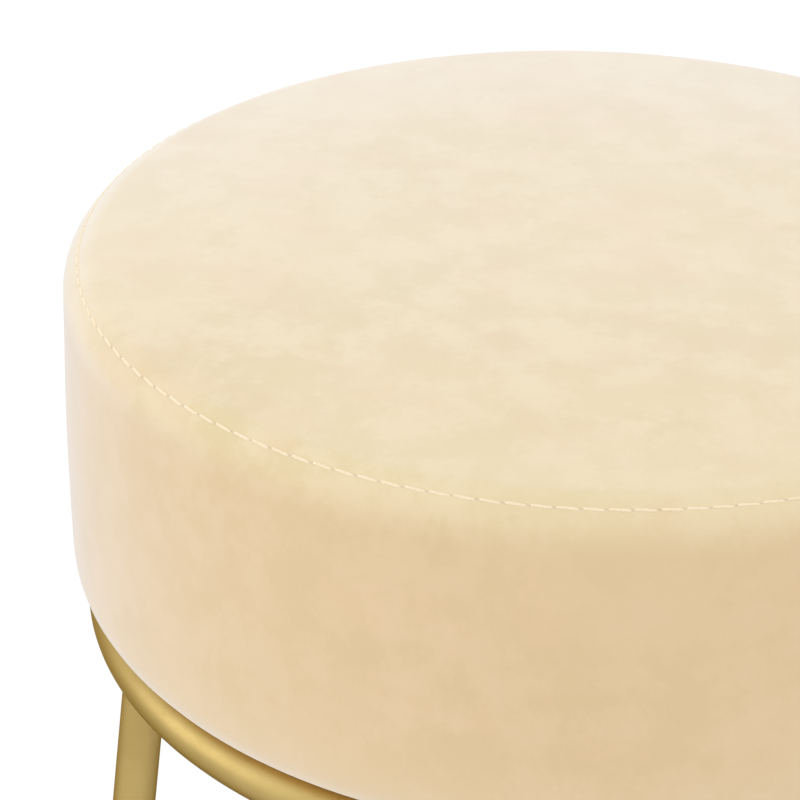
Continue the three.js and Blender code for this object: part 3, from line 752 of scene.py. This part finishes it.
def glide(azimuth, name):
    """A plastic foot with a rounded rim, cut level where it meets the floor."""
    top = GLIDE_THICKNESS - LEG_REACH - GLIDE_FIT
    plug = LEG_RADIUS - LEG_WALL - GLIDE_FIT
    plug_top = top + GLIDE_PLUG_LENGTH
    outline = [(0, plug_top), (plug - GLIDE_RIM, plug_top)]
    outline += [(plug, plug_top - GLIDE_PLUG_BEVEL), (plug, top)]
    outline += arc((LEG_RADIUS - GLIDE_RIM, top - GLIDE_RIM), GLIDE_RIM, math.pi / 2, 0, 4)
    outline += [(LEG_RADIUS, top - GLIDE_BLANK), (0, top - GLIDE_BLANK)]
    piece = turned(name, outline, 56)
    place(piece, on_leg_axis(azimuth))
    bpy.ops.object.mode_set(mode="EDIT")
    bpy.ops.mesh.select_all(action="SELECT")
    bpy.ops.mesh.bisect(plane_co=(0, 0, 0), plane_no=(0, 0, 1), use_fill=True, clear_inner=True)
    bpy.ops.object.mode_set(mode="OBJECT")
    smooth(piece, 35)
    return piece


finished(frame_ring(), "gold_metal", gold, "frame_ring")
for i in range(LEG_COUNT):
    azimuth = 2 * math.pi * (i + 0.5) / LEG_COUNT
    finished(leg(azimuth, f"leg_tube_{i + 1}"), "gold_metal", gold, f"leg_{i + 1}")
    finished(glide(azimuth, f"glide_{i + 1}"), "glide_plastic", glide_plastic, f"foot_glide_{i + 1}")


# Seat fixings

def washer():
    """A washer with its edges rounded by stamping."""
    low, high, r, rim = WASHER_Z, WASHER_Z + WASHER_THICKNESS, WASHER_RADIUS, WASHER_RIM
    outline = [(WASHER_BORE, low), (r - rim, low), (r - 0.3 * rim, low + 0.3 * rim)]
    outline += [(r, low + rim), (r, high), (WASHER_BORE, high)]
    piece = turned("washer", outline, 48, closed=True)
    smooth(piece, 30)
    return piece


def screw():
    """A button-head screw with a hexagon socket, its head below its shank."""
    top = SCREW_HEAD_TOP_Z
    tip = top + SCREW_LENGTH
    outline = [(r * MM, top - depth * MM) for r, depth in SCREW_HEAD]
    outline += [(SCREW_RADIUS, top), (SCREW_RADIUS, tip - 0.8 * MM)]
    outline += [(SCREW_RADIUS - 0.7 * MM, tip), (0, tip)]
    piece = turned("screw", outline, 48)
    bpy.ops.mesh.primitive_cylinder_add(
        vertices=6,
        radius=SOCKET_RADIUS,
        depth=2 * SOCKET_DEPTH,
        location=(0, 0, outline[0][1]),
    )
    cut_away(piece, bpy.context.object)
    smooth(piece, 30)
    return piece


for name, first, node in (("screw", screw(), "seat_screw"), ("washer", washer(), "screw_washer")):
    for i in range(FIXING_COUNT):
        azimuth = 2 * math.pi * i / FIXING_COUNT
        at_fixing = Matrix.Rotation(azimuth, 4, "Z") @ Matrix.Translation((FIXING_RADIUS, 0, 0))
        turn = Matrix.Rotation(azimuth + SCREW_TURN * (i % 3), 4, "Z")
        copy = copy_of(first, f"{name}_{i + 1}", at_fixing @ turn)
        finished(copy, "zinc_steel", zinc, f"{node}_{i + 1}")
    bpy.data.objects.remove(first)


# Solids that show as they are

CARRIED_OVER = {"seat_tab": gold, "tee_nut": zinc, "cloth_staple": zinc, "seat_board": plywood}
for name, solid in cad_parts.items():
    for start, material in CARRIED_OVER.items():
        if name.startswith(start):
            solid.data.materials.clear()
            solid.data.materials.append(material)


# Floor, backdrop and lamps

FLOOR_SIZE = 12
FLOOR_PAINT = (0.88, 0.88, 0.88, 1)
FLOOR_GLOW = 1.05  # what the camera sees in the paint's place, for the most part
LAMP_TARGET_Z = 0.35


def ray_share(nodes, links, ray, value):
    """Is a value for light paths of the named kind, and 0 for others."""
    times = nodes.new("ShaderNodeMath")
    times.operation = "MULTIPLY"
    times.inputs[1].default_value = value
    links.new(nodes.new("ShaderNodeLightPath").outputs[ray], times.inputs[0])
    return times.outputs[0]


def add_floor():
    """A pale floor that reads white to the camera, takes the stool's shadow, and is clear from below."""
    clear_selection()
    bpy.ops.mesh.primitive_plane_add(size=FLOOR_SIZE, location=(0, 0, 0))
    floor = bpy.context.object
    floor.name = "floor"
    material = bpy.data.materials.new("floor")
    material.use_nodes = True
    nodes, links = material.node_tree.nodes, material.node_tree.links
    nodes.clear()
    paint = nodes.new("ShaderNodeBsdfDiffuse")
    paint.inputs["Color"].default_value = FLOOR_PAINT
    glow = nodes.new("ShaderNodeEmission")
    glow.inputs["Strength"].default_value = FLOOR_GLOW
    glow_share = nodes.new("ShaderNodeMath")
    glow_share.operation = "MAXIMUM"
    links.new(ray_share(nodes, links, "Is Camera Ray", 0.85), glow_share.inputs[0])
    links.new(ray_share(nodes, links, "Is Glossy Ray", 0.15), glow_share.inputs[1])
    from_above = nodes.new("ShaderNodeMixShader")
    links.new(glow_share.outputs[0], from_above.inputs[0])
    links.new(paint.outputs[0], from_above.inputs[1])
    links.new(glow.outputs[0], from_above.inputs[2])
    clear = nodes.new("ShaderNodeBsdfTransparent")
    surface = nodes.new("ShaderNodeMixShader")
    links.new(nodes.new("ShaderNodeNewGeometry").outputs["Backfacing"], surface.inputs[0])
    links.new(from_above.outputs[0], surface.inputs[1])
    links.new(clear.outputs[0], surface.inputs[2])
    links.new(surface.outputs[0], nodes.new("ShaderNodeOutputMaterial").inputs["Surface"])
    floor.data.materials.append(material)


def add_world():
    """A white backdrop, which lights the stool softly from all round."""
    world = bpy.data.worlds.new("backdrop")
    bpy.context.scene.world = world
    world.use_nodes = True
    backdrop = world.node_tree.nodes["Background"]
    backdrop.inputs["Strength"].default_value = 1.0
    backdrop.inputs["Color"].default_value = (1, 1, 1, 1)


def add_lamp(name, azimuth, elevation, distance, size, power, colour):
    """A soft square lamp, its place given in degrees about the cushion, which it points at."""
    light = bpy.data.lights.new(name, "AREA")
    light.size = size
    light.energy = power
    light.color = linear(colour)[:3]
    lamp = bpy.data.objects.new(name, light)
    bpy.context.scene.collection.objects.link(lamp)
    a, e = math.radians(azimuth), math.radians(elevation)
    away = Vector((math.cos(a) * math.cos(e), math.sin(a) * math.cos(e), math.sin(e)))
    lamp.location = Vector((0, 0, LAMP_TARGET_Z)) + away * distance
    lamp.rotation_euler = (-away).to_track_quat("-Z", "Y").to_euler()


add_floor()
add_world()
add_lamp("key_lamp", 200, 12, 2.4, 1.4, 7.5, "f2f7ff")
add_lamp("back_lamp", 108, 14, 2.6, 1.8, 6, "f0f6ff")
